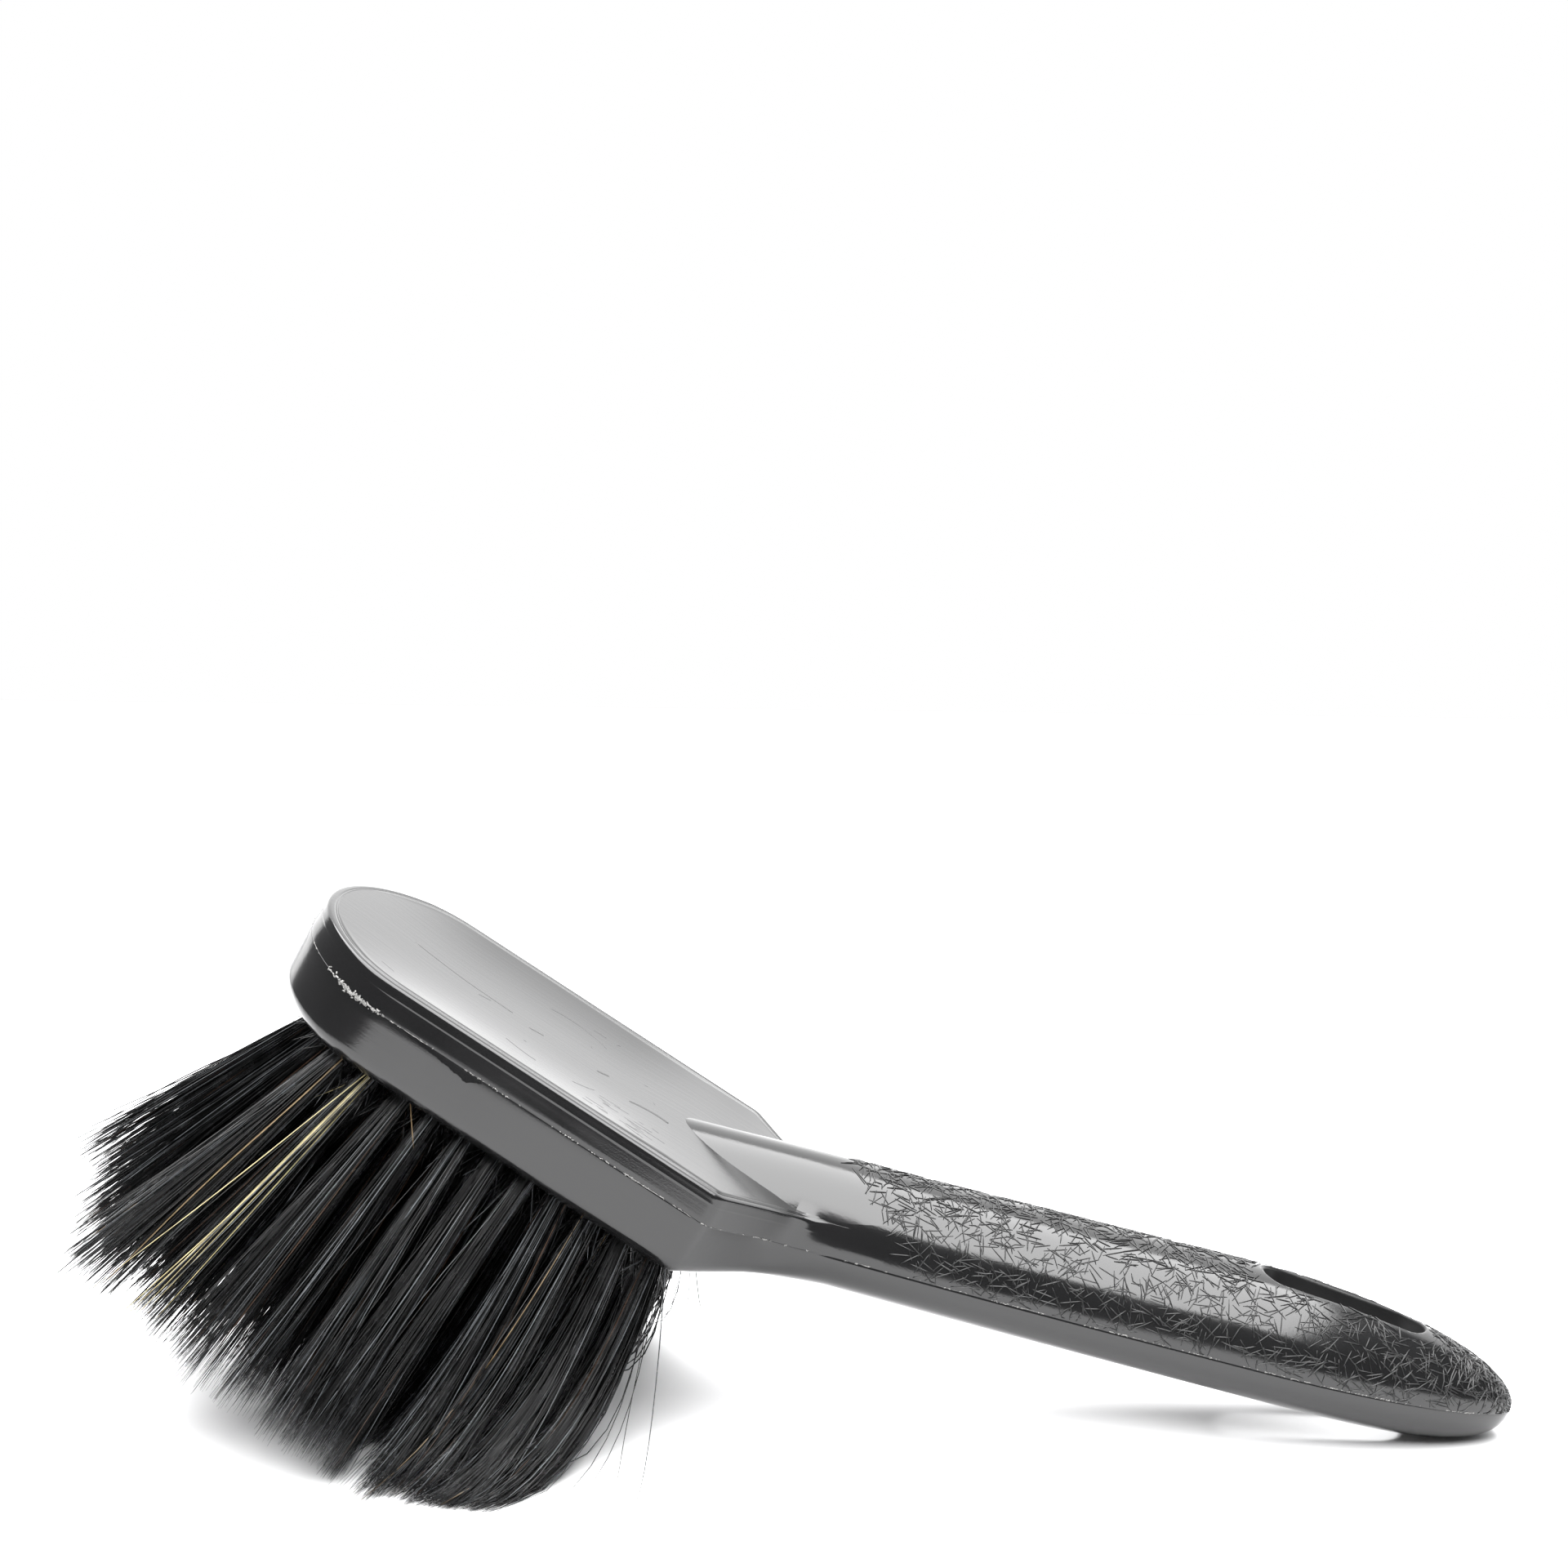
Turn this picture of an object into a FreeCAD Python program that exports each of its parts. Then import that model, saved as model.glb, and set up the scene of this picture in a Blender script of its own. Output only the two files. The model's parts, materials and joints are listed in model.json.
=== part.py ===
import FreeCAD, Part
import math
import os
import Sketcher
from FreeCAD import Placement, Rotation, Vector

# Wheel brush, in millimetres. One moulding is the head block and its handle. Its underside is drilled
# for staggered rows of bristle tufts, and a small flat anchor in each hole pins the folded tuft.
#
# The design frame lies in the block: X runs from the nose to the handle, Y across, and Z up, with the
# origin on the middle plane where the straight sides start and Z 0 at the rim of the top face. The row
# frame is the brush at rest on the tips of its bristles and the end of its handle, with the floor at
# Z 0. The resting placement takes one to the other.

SIZES = (
    # alias, value
    ("block_half_width", 31.0),
    ("block_straight", 79.3),
    ("nose_radius", 34.2),
    ("shoulder_end", 96.8),
    ("neck_half_width", 13.0),
    ("wedge_start", 80.0),
    ("wedge_run", 22.0),
    ("wedge_rise", 8.2),
    ("rim_height", 0.4),
    ("parting_depth", 6.0),
    ("bottom_depth", 19.3),
    ("upper_draft", 4.0),
    ("lower_draft", 3.0),
    ("rim_fillet", 1.0),
    ("bottom_fillet", 2.2),
    ("handle_pitch", 19.5),
    ("handle_root", 96.5),
    ("handle_length", 146.5),
    ("grip_half_width", 16.0),
    ("grip_top", 15.7),
    ("grip_bottom", 10.2),
    ("neck_narrowing", 2.4),
    ("neck_thinning", 1.3),
    ("neck_length", 80.0),
    ("end_taper", 50.5),
    ("top_taper_lead", 6.0),
    ("slot_middle", 109.5),
    ("slot_length", 33.0),
    ("slot_width", 9.0),
    ("hole_radius", 2.25),
    ("hole_depth", 12.0),
    ("tuft_clearance", 0.05),
    ("tuft_neck", 1.5),
    ("tuft_free", 68.5),
    ("tuft_pitch", 7.28),
    ("row_pitch", 10.25),
    ("first_tuft", -5.5),
    ("side_splay", 23.0),
    ("nose_splay", 24.0),
    ("handle_splay", 12.0),
    ("tip_across", 9.0),
    ("tip_gap", 0.3),
    ("anchor_length", 5.4),
    ("anchor_width", 1.8),
    ("anchor_thickness", 0.4),
    ("anchor_lift", 1.5),
    ("rest_pitch", 32.43),
    ("rest_height", 95.5),
    ("rest_shift", -72.54),
)
# Rows of tufts from -Y to +Y. Neighbouring rows are staggered by half a pitch, and the outer rows start
# later because the nose is round.
ROW_COUNTS = (11, 11, 12, 11, 11)
ROW_STARTS = (1.0, 0.5, 0.0, 0.5, 1.0)
ROW_NAMES = ("right_outer", "right_inner", "centre", "left_inner", "left_outer")
# How sharply the lean of the tufts grows towards both ends of the block.
SPLAY_POWER = 1.6
# Sections along the handle, from one buried in the block to the rounded end.
GRIP_STATIONS = (-27.0, -7.0, 11.0, 36.0, 61.0, 91.0, 111.0, 126.0, 136.0, 142.0, 145.6)
# The share of its depth that the first, buried section keeps, so that it stays inside the block.
BURIED_SHARE = 0.4

doc = FreeCAD.newDocument("wheel_brush")
dims = doc.addObject("Spreadsheet::Sheet", "dims")
for row_number, (alias, value) in enumerate(SIZES, start=1):
    dims.set(f"A{row_number}", alias)
    dims.set(f"B{row_number}", str(value))
    dims.setAlias(f"B{row_number}", alias)
doc.recompute()


def size(alias):
    """Return the value of one driving dimension."""
    return float(dims.get(alias))


def plane_of(body, role):
    """Return one of a body's own origin planes."""
    return next(f for f in body.Origin.OriginFeatures if f.Role == role)


def new_sketch(body, name, role, offset):
    """Add a sketch to a body, on one of its origin planes with an offset."""
    sketch = body.newObject("Sketcher::SketchObject", name)
    sketch.AttachmentSupport = (plane_of(body, role), [""])
    sketch.MapMode = "FlatFace"
    sketch.AttachmentOffset = offset
    return sketch


def add_primitive(kind, name, lengths, place=Placement()):
    """Add a Part primitive whose properties are bound to expressions of the sheet."""
    primitive = doc.addObject(kind, name)
    for prop, expression in lengths.items():
        primitive.setExpression(prop, expression)
    primitive.Placement = place
    return primitive


def add_boolean(kind, name, base, tool, place=Placement()):
    """Add a Part boolean of two objects, such as a Part::Cut."""
    boolean = doc.addObject(kind, name)
    boolean.Base = base
    boolean.Tool = tool
    boolean.Placement = place
    return boolean


# ---------------------------------------------------------------- placements

# The row frame: the brush tips down towards the handle until the handle's end meets the floor.
RESTING = Placement(
    Vector(size("rest_shift"), 0, size("rest_height")),
    Rotation(Vector(0, 1, 0), size("rest_pitch")),
)
# The handle's frame: X runs along the handle on its parting plane, and Z is up out of that plane.
HANDLE = Placement(
    Vector(size("handle_root"), 0, -size("parting_depth")),
    Rotation(Vector(0, 1, 0), -size("handle_pitch")),
)


def splay_along(x):
    """Return the lean of a tuft at x in degrees, minus towards the nose and plus towards the handle."""
    last = size("first_tuft") + (max(ROW_COUNTS) - 1) * size("tuft_pitch")
    middle = (size("first_tuft") + last) / 2
    share = (x - middle) / (last - middle)
    if share < 0:
        return -size("nose_splay") * abs(share) ** SPLAY_POWER
    return size("handle_splay") * share**SPLAY_POWER


def tuft_layout():
    """Return name, place and half width along the row for each tuft, mouth of the hole at its origin."""
    layout = []
    middle_row = len(ROW_COUNTS) // 2
    for row, count in enumerate(ROW_COUNTS):
        y = (row - middle_row) * size("row_pitch")
        across = math.radians(size("side_splay") * (row - middle_row) / middle_row)
        start = size("first_tuft") + ROW_STARTS[row] * size("tuft_pitch")
        stations = [start + i * size("tuft_pitch") for i in range(count)]
        leans = [math.radians(splay_along(x)) for x in stations]
        tips = [x + size("tuft_free") * math.sin(lean) for x, lean in zip(stations, leans)]
        gaps = [right - left for left, right in zip(tips, tips[1:])]
        for i, (x, lean) in enumerate(zip(stations, leans)):
            down = Vector(math.tan(lean), math.tan(across), -1).normalize()
            turn = Rotation(Vector(), Vector(0, 1, 0), down, "ZYX")
            place = Placement(Vector(x, y, -size("bottom_depth")), turn)
            tightest = min(gaps[max(i - 1, 0)], gaps[min(i, count - 2)])
            half_width = (tightest * math.cos(lean) - size("tip_gap")) / 2
            layout.append((f"tuft_{ROW_NAMES[row]}_{i + 1:02d}", place, half_width))
    return layout


# ------------------------------------------------------------ block and handle

moulding = doc.addObject("PartDesign::Body", "moulding")


def draw_block_plan(sketch):
    """Draw the block's outline: a round nose, straight sides and two slanted shoulders."""
    width = size("block_half_width")
    neck = size("neck_half_width")
    straight = size("block_straight")
    end = size("shoulder_end")
    radius = size("nose_radius")
    centre_x = math.sqrt(radius**2 - width**2)
    start_angle = math.atan2(width, -centre_x)
    circle = Part.Circle(Vector(centre_x, 0, 0), Vector(0, 0, 1), radius)
    sketch.addGeometry(Part.ArcOfCircle(circle, start_angle, 2 * math.pi - start_angle))
    corners = [(0, -width), (straight, -width), (end, -neck), (end, neck), (straight, width), (0, width)]
    for (x0, y0), (x1, y1) in zip(corners, corners[1:]):
        sketch.addGeometry(Part.LineSegment(Vector(x0, y0, 0), Vector(x1, y1, 0)))
    sketch.addConstraint(Sketcher.Constraint("Coincident", 0, 2, 1, 1))
    for line in range(1, 5):
        sketch.addConstraint(Sketcher.Constraint("Coincident", line, 2, line + 1, 1))
    sketch.addConstraint(Sketcher.Constraint("Coincident", 5, 2, 0, 1))
    sketch.addConstraint(Sketcher.Constraint("PointOnObject", 0, 2, -2))
    sketch.addConstraint(Sketcher.Constraint("Symmetric", 0, 1, 0, 2, -1))
    sketch.addConstraint(Sketcher.Constraint("Symmetric", 1, 2, 4, 2, -1))
    sketch.addConstraint(Sketcher.Constraint("Symmetric", 3, 1, 3, 2, -1))
    measures = (
        ("Radius", (0,), radius, "nose_radius"),
        ("DistanceY", (-1, 1, 0, 1), width, "block_half_width"),
        ("DistanceY", (-1, 1, 4, 2), width, "block_half_width"),
        ("DistanceX", (-1, 1, 1, 2), straight, "block_straight"),
        ("DistanceX", (-1, 1, 3, 1), end, "shoulder_end"),
        ("DistanceY", (-1, 1, 3, 2), neck, "neck_half_width"),
    )
    for kind, where, value, alias in measures:
        index = sketch.addConstraint(Sketcher.Constraint(kind, *where, value))
        sketch.setExpression(f"Constraints[{index}]", f"dims.{alias}")


def edges_at(feature, level):
    """Return the names of a feature's edges that lie flat at one Z."""
    names = []
    for number, edge in enumerate(feature.Shape.Edges, start=1):
        box = edge.BoundBox
        if abs(box.ZMin - level) < 0.01 and abs(box.ZMax - level) < 0.01:
            names.append(f"Edge{number}")
    return names


def add_fillet(name, base, edges, alias):
    """Round some edges of the moulding."""
    fillet = moulding.newObject("PartDesign::Fillet", name)
    fillet.Base = (base, edges)
    fillet.setExpression("Radius", f"dims.{alias}")
    doc.recompute()
    return fillet


parting = Placement(Vector(0, 0, -size("parting_depth")), Rotation())
block_plan = new_sketch(moulding, "block_plan", "XY_Plane", parting)
draw_block_plan(block_plan)

upper_block = moulding.newObject("PartDesign::Pad", "upper_block")
upper_block.Profile = block_plan
upper_block.setExpression("Length", "dims.parting_depth + dims.rim_height")
upper_block.setExpression("TaperAngle", "-dims.upper_draft")
doc.recompute()

lower_block = moulding.newObject("PartDesign::Pad", "lower_block")
lower_block.Profile = block_plan
lower_block.Reversed = True
lower_block.setExpression("Length", "dims.bottom_depth - dims.parting_depth")
lower_block.setExpression("TaperAngle", "-dims.lower_draft")
doc.recompute()

top_edges = edges_at(lower_block, size("rim_height"))
rounded_rim = add_fillet("rounded_rim", lower_block, top_edges, "rim_fillet")
bottom_edges = edges_at(rounded_rim, -size("bottom_depth"))
add_fillet("rounded_bottom", rounded_rim, bottom_edges, "bottom_fillet")


def draw_wedge(sketch):
    """Draw the triangle that slopes the block's underside up to the handle."""
    start = size("wedge_start")
    end = start + size("wedge_run")
    low = -size("bottom_depth")
    corners = [(start, low), (end, low), (end, low + size("wedge_rise"))]
    for (x0, z0), (x1, z1) in zip(corners, corners[1:] + corners[:1]):
        sketch.addGeometry(Part.LineSegment(Vector(x0, z0, 0), Vector(x1, z1, 0)))
    for line in range(3):
        sketch.addConstraint(Sketcher.Constraint("Coincident", line, 2, (line + 1) % 3, 1))
    sketch.addConstraint(Sketcher.Constraint("Horizontal", 0))
    sketch.addConstraint(Sketcher.Constraint("Vertical", 1))
    measures = (
        ("DistanceX", (-1, 1, 0, 1), "dims.wedge_start"),
        ("DistanceY", (0, 1, -1, 1), "dims.bottom_depth"),
        ("DistanceX", (0, 1, 0, 2), "dims.wedge_run"),
        ("DistanceY", (1, 1, 1, 2), "dims.wedge_rise"),
    )
    for kind, where, expression in measures:
        index = sketch.addConstraint(Sketcher.Constraint(kind, *where, 1.0))
        sketch.setExpression(f"Constraints[{index}]", expression)


def cut_through(name, sketch, reach):
    """Cut a sketch out of the moulding, as far on one side of it as on the other."""
    before = moulding.Shape.Volume
    pocket = moulding.newObject("PartDesign::Pocket", name)
    pocket.Profile = sketch
    pocket.Midplane = True
    pocket.Length = reach
    doc.recompute()
    if moulding.Shape.Volume > before - 1:
        raise RuntimeError(f"{name} cuts nothing")
    return pocket


wedge_sketch = new_sketch(moulding, "underside_wedge_outline", "XZ_Plane", Placement())
draw_wedge(wedge_sketch)
doc.recompute()
cut_through("underside_wedge", wedge_sketch, 2 * size("block_half_width"))


def grip_section(u):
    """Return half width, height above and depth below the parting plane at u along the handle."""
    neck = max(0.0, 1 - max(0.0, u) / size("neck_length")) ** 2
    taper_start = size("handle_length") - size("end_taper")
    past = max(0.0, u - taper_start) / size("end_taper")
    top_taper = size("end_taper") + size("top_taper_lead")
    top_past = max(0.0, u - taper_start + size("top_taper_lead")) / top_taper
    buried = max(0.0, -u) / abs(GRIP_STATIONS[0])
    half_width = (size("grip_half_width") - size("neck_narrowing") * neck) * math.sqrt(1 - past**2)
    top = size("grip_top") * math.sqrt(1 - top_past**2)
    bottom = (size("grip_bottom") - size("neck_thinning") * neck) * math.sqrt(1 - past**5)
    return half_width, top, bottom * (1 - (1 - BURIED_SHARE) * buried)


def write_grip_sizes():
    """Add every handle section's half width, top and bottom to the sheet."""
    row_number = len(SIZES)
    for station, u in enumerate(GRIP_STATIONS, start=1):
        for part, value in zip(("wide", "top", "bottom"), grip_section(u)):
            row_number += 1
            alias = f"grip_{part}_{station}"
            dims.set(f"A{row_number}", alias)
            dims.set(f"B{row_number}", str(round(value, 3)))
            dims.setAlias(f"B{row_number}", alias)
    doc.recompute()


def draw_grip_section(sketch, station, u):
    """Draw a handle section: an upper and a lower arc that meet on the parting plane."""
    half_width, top, bottom = grip_section(u)
    left = Vector(-half_width, 0, 0)
    right = Vector(half_width, 0, 0)
    sketch.addGeometry(Part.Arc(right, Vector(0, top, 0), left))
    sketch.addGeometry(Part.Arc(left, Vector(0, -bottom, 0), right))
    sketch.addConstraint(Sketcher.Constraint("Coincident", 0, 1, 1, 2))
    sketch.addConstraint(Sketcher.Constraint("Coincident", 0, 2, 1, 1))
    sketch.addConstraint(Sketcher.Constraint("Symmetric", 0, 1, 0, 2, -2))
    sketch.addConstraint(Sketcher.Constraint("PointOnObject", 0, 1, -1))
    wide = sketch.addConstraint(Sketcher.Constraint("DistanceX", -1, 1, 0, 1, half_width))
    sketch.setExpression(f"Constraints[{wide}]", f"dims.grip_wide_{station}")
    for arc, part, rise in ((0, "top", top), (1, "bottom", bottom)):
        radius = (half_width**2 + rise**2) / (2 * rise)
        index = sketch.addConstraint(Sketcher.Constraint("Radius", arc, radius))
        chord = f"dims.grip_wide_{station}"
        bow = f"dims.grip_{part}_{station}"
        sketch.setExpression(f"Constraints[{index}]", f"({chord}^2 + {bow}^2) / (2 * {bow})")


write_grip_sizes()
# The YZ plane's sketch axes: its X runs along Y, its Y along Z and its normal along X.
ACROSS = Placement(Vector(), Rotation(Vector(0, 1, 0), Vector(0, 0, 1), Vector(1, 0, 0), "ZXY"))
grip_sketches = []
for station, u in enumerate(GRIP_STATIONS, start=1):
    along_handle = HANDLE.multiply(Placement(Vector(u, 0, 0), Rotation()))
    offset = ACROSS.inverse().multiply(along_handle).multiply(ACROSS)
    section = new_sketch(moulding, f"grip_section_{station:02d}", "YZ_Plane", offset)
    draw_grip_section(section, station, u)
    grip_sketches.append(section)

grip = moulding.newObject("PartDesign::AdditiveLoft", "grip")
grip.Profile = grip_sketches[0]
grip.Sections = grip_sketches[1:]
doc.recompute()


def draw_slot(sketch):
    """Draw a slot with round ends, centred on the sketch's origin."""
    half = (size("slot_length") - size("slot_width")) / 2
    radius = size("slot_width") / 2
    quarter = math.pi / 2
    for side in (1, -1):
        circle = Part.Circle(Vector(side * half, 0, 0), Vector(0, 0, 1), radius)
        first = -quarter if side > 0 else quarter
        sketch.addGeometry(Part.ArcOfCircle(circle, first, first + math.pi))
    for side in (1, -1):
        start = Vector(side * half, side * radius, 0)
        sketch.addGeometry(Part.LineSegment(start, Vector(-side * half, side * radius, 0)))
    sketch.addConstraint(Sketcher.Constraint("Tangent", 0, 2, 2, 1))
    sketch.addConstraint(Sketcher.Constraint("Tangent", 2, 2, 1, 1))
    sketch.addConstraint(Sketcher.Constraint("Tangent", 1, 2, 3, 1))
    sketch.addConstraint(Sketcher.Constraint("Tangent", 3, 2, 0, 1))
    sketch.addConstraint(Sketcher.Constraint("Symmetric", 0, 3, 1, 3, -1, 1))
    sketch.addConstraint(Sketcher.Constraint("PointOnObject", 0, 3, -1))
    index = sketch.addConstraint(Sketcher.Constraint("Radius", 0, radius))
    sketch.setExpression(f"Constraints[{index}]", "dims.slot_width / 2")
    index = sketch.addConstraint(Sketcher.Constraint("DistanceX", -1, 1, 0, 3, half))
    sketch.setExpression(f"Constraints[{index}]", "(dims.slot_length - dims.slot_width) / 2")


slot_place = HANDLE.multiply(Placement(Vector(size("slot_middle"), 0, 0), Rotation()))
slot_sketch = new_sketch(moulding, "hang_slot_outline", "XY_Plane", slot_place)
draw_slot(slot_sketch)
doc.recompute()
cut_through("hang_slot", slot_sketch, 4 * size("grip_top"))

# ------------------------------------------------------------- tufts and anchors

# A box under the floor, larger than the brush, that cuts the tufts which reach it.
FLOOR_SIZE = 400
FLOOR = Placement(Vector(-FLOOR_SIZE / 2, -FLOOR_SIZE / 2, -FLOOR_SIZE), Rotation())
ANCHOR_SIZES = {"Length": "dims.anchor_thickness", "Width": "dims.anchor_length", "Height": "dims.anchor_width"}


def anchor_place():
    """Return where an anchor's box starts in its tuft's frame, which has Z along the bristles."""
    bottom = size("anchor_lift") - size("hole_depth")
    return Placement(Vector(-size("anchor_thickness") / 2, -size("anchor_length") / 2, bottom), Rotation())


def add_hole(name, place):
    """Add the tool that cuts one tuft's hole and its anchor's notches out of the block."""
    bottom = Placement(Vector(0, 0, -size("hole_depth")), Rotation())
    bore = add_primitive(
        "Part::Cylinder",
        f"{name}_bore",
        {"Radius": "dims.hole_radius", "Height": "dims.hole_depth + dims.tuft_neck + 1"},
        bottom,
    )
    notch = add_primitive("Part::Box", f"{name}_notch", ANCHOR_SIZES, anchor_place())
    return add_boolean("Part::Fuse", f"{name}_hole", bore, notch, place)


def add_tuft(name, place, half_width):
    """Add one tuft: a round root in its hole that flares to an oval brush tip, cut flat by the floor."""
    bottom = Placement(Vector(0, 0, -size("hole_depth")), Rotation())
    root_sizes = {
        "Radius": "dims.hole_radius - dims.tuft_clearance",
        "Height": "dims.hole_depth + dims.tuft_neck",
    }
    root = add_primitive("Part::Cylinder", f"{name}_root", root_sizes, bottom)
    quarter_turn = Rotation(Vector(0, 0, 1), 90)
    mouth = add_primitive(
        "Part::Circle",
        f"{name}_mouth",
        {"Radius": "dims.hole_radius - dims.tuft_clearance"},
        Placement(Vector(0, 0, size("tuft_neck")), quarter_turn),
    )
    tip = add_primitive(
        "Part::Ellipse",
        f"{name}_tip",
        {"MajorRadius": "dims.tip_across"},
        Placement(Vector(0, 0, size("tuft_free")), quarter_turn),
    )
    tip.MinorRadius = half_width
    flare = doc.addObject("Part::Loft", f"{name}_flare")
    flare.Sections = [mouth, tip]
    flare.Solid = True
    flare.Ruled = True
    bundle = add_boolean("Part::Fuse", f"{name}_bundle", root, flare)
    slot = add_primitive("Part::Box", f"{name}_slot", ANCHOR_SIZES, anchor_place())
    folded = add_boolean("Part::Cut", f"{name}_folded", bundle, slot)
    doc.recompute([mouth, tip, flare, root, bundle, slot, folded])
    world = RESTING.multiply(place)
    if folded.Shape.copy().transformGeometry(world.toMatrix()).BoundBox.ZMin > 0:
        folded.Placement = world
        return folded
    lengths = {side: str(FLOOR_SIZE) for side in ("Length", "Width", "Height")}
    floor = add_primitive("Part::Box", f"{name}_floor", lengths, world.inverse().multiply(FLOOR))
    return add_boolean("Part::Cut", f"{name}_standing", folded, floor, world)


def add_group(name, members, place):
    """Add one compound of separate solids."""
    group = doc.addObject("Part::Compound", name)
    group.Links = members
    group.Placement = place
    return group


layout = tuft_layout()
holes = add_group("tuft_holes", [add_hole(name, place) for name, place, _ in layout], Placement())
drilled = add_boolean("Part::Cut", "block_and_handle", moulding, holes, RESTING)
anchors = []
for name, place, _ in layout:
    anchors.append(add_primitive("Part::Box", f"{name}_anchor", ANCHOR_SIZES, place.multiply(anchor_place())))
anchor_group = add_group("staple_anchors", anchors, RESTING)

sub_parts = {"block_and_handle": drilled, "staple_anchors": anchor_group}
for name, place, half_width in layout:
    sub_parts[name] = add_tuft(name, place, half_width)
doc.recompute()

# ------------------------------------------------------------------- checks and files

for item in doc.Objects:
    if "Invalid" in item.State or "Error" in item.State:
        raise RuntimeError(f"{item.Name} is {item.State}")
os.makedirs("parts", exist_ok=True)
for label, item in sub_parts.items():
    item.Label = label
    if item.Shape.isNull() or not item.Shape.isValid():
        raise RuntimeError(f"{label} has no valid shape")
    item.Shape.exportStep(f"parts/{label}.step")

whole = FreeCAD.BoundBox()
for item in sub_parts.values():
    whole.add(item.Shape.BoundBox)
print("sub-parts:", len(sub_parts))
print("box:", [round(v, 2) for v in (whole.XMin, whole.XMax, whole.YMin, whole.YMax, whole.ZMin, whole.ZMax)])
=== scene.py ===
"""Wheel brush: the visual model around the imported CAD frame.

Lengths are in millimetres until a mesh is made.
"""
import json
import math

import bmesh
import bpy
import numpy as np
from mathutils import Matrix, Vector
from mathutils.kdtree import KDTree

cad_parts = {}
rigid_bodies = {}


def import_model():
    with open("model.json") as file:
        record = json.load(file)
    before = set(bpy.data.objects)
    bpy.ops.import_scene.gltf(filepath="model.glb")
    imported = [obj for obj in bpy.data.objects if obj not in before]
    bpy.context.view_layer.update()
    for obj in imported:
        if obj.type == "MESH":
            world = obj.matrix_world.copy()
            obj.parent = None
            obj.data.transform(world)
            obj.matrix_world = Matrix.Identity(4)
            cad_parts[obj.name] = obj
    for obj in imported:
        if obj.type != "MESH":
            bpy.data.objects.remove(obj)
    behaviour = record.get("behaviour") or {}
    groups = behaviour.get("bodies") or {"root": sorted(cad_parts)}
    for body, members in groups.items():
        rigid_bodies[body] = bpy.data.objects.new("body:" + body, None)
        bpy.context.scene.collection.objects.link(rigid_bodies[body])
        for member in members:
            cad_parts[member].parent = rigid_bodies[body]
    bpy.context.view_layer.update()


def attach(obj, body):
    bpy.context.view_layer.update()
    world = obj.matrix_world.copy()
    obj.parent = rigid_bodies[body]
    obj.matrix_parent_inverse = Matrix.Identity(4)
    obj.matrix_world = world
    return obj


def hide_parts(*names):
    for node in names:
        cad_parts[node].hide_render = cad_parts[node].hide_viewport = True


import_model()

rng = np.random.default_rng(20)

# ------------------------------------------------------------ driving dimensions
# These repeat the part's own dimensions. The block's frame has X from the nose to the handle,
# Y across and Z up, with Z 0 at the rim of the top face. U runs along the handle from its root.
REST_PITCH = math.radians(32.43)
REST_SHIFT = np.array([-72.54, 0.0, 95.5])
HALF_WIDTH = 31.0
NOSE_RADIUS = 34.2
STRAIGHT = 79.3
SHOULDER_END = 96.8
NECK_HALF_WIDTH = 13.0
PARTING_Z = -6.0
RIM_Z = 0.4
BOTTOM_Z = -19.3
ROOT_X = 96.5
HANDLE_PITCH = math.radians(19.5)
HANDLE_LENGTH = 146.5
GRIP_TOP = 15.7
GRIP_BOTTOM = 10.2
GRIP_HALF_WIDTH = 16.0
END_START = 96.0  # U where the handle's rounded end starts
TOP_END_START = 90.0  # U where its top starts to fall
SLOT_MIDDLE = 109.5
SLOT_LENGTH = 33.0
SLOT_WIDTH = 9.0
TUFT_FREE = 68.5
TUFT_PITCH = 7.28
ROW_PITCH = 10.25
FIRST_TUFT = -5.5
ROW_COUNTS = (11, 11, 12, 11, 11)
ROW_STARTS = (1.0, 0.5, 0.0, 0.5, 1.0)
ROW_NAMES = ("right_outer", "right_inner", "centre", "left_inner", "left_outer")
ROW_FAN = 23.0  # degrees, as the leans below
NOSE_LEAN = -24.0
HEEL_LEAN = 12.0
PALE_TUFT = "tuft_right_outer_02"
NOSE_X = math.sqrt(NOSE_RADIUS**2 - HALF_WIDTH**2)
MM = 0.001


def to_row(points):
    """Turn points in the block's frame, in mm, into the row frame, in metres."""
    points = np.asarray(points, float)
    c, s = math.cos(REST_PITCH), math.sin(REST_PITCH)
    x, y, z = points[..., 0], points[..., 1], points[..., 2]
    turned = np.stack([x * c + z * s, y, -x * s + z * c], axis=-1)
    return (turned + REST_SHIFT) * MM


def from_handle(u, y, v):
    """Turn handle coordinates (along, across, above its parting plane) into the block's frame."""
    c, s = math.cos(HANDLE_PITCH), math.sin(HANDLE_PITCH)
    return np.stack([ROOT_X + u * c - v * s, y + 0 * u, PARTING_Z + u * s + v * c], axis=-1)


def smooth(low, high, x):
    """Return 0 below low, 1 above high and a smooth step between."""
    t = np.clip((np.asarray(x, float) - low) / (high - low), 0, 1)
    return t * t * (3 - 2 * t)


def unit(vectors):
    """Scale vectors to length 1 along their last axis."""
    return vectors / np.maximum(np.linalg.norm(vectors, axis=-1, keepdims=True), 1e-9)


def grip_sizes(u):
    """Return the handle's half width, height above and depth below the parting plane at u."""
    u = np.asarray(u, float)
    neck = np.clip(1 - np.maximum(u, 0) / 80, 0, 1) ** 2
    past = np.clip((u - END_START) / (HANDLE_LENGTH - END_START), 0, 1)
    top_past = np.clip((u - TOP_END_START) / (HANDLE_LENGTH - TOP_END_START), 0, 1)
    half_width = (GRIP_HALF_WIDTH - 2.4 * neck) * np.sqrt(1 - past**2)
    top = (GRIP_TOP - 0.35 * smooth(0, 30, u)) * np.sqrt(1 - top_past**2)
    bottom = (GRIP_BOTTOM - 0.4 * neck) * np.sqrt(1 - past**5)
    return half_width, top, bottom


DOME_PASSES = 40
FAR_BELOW = -99.0


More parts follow.
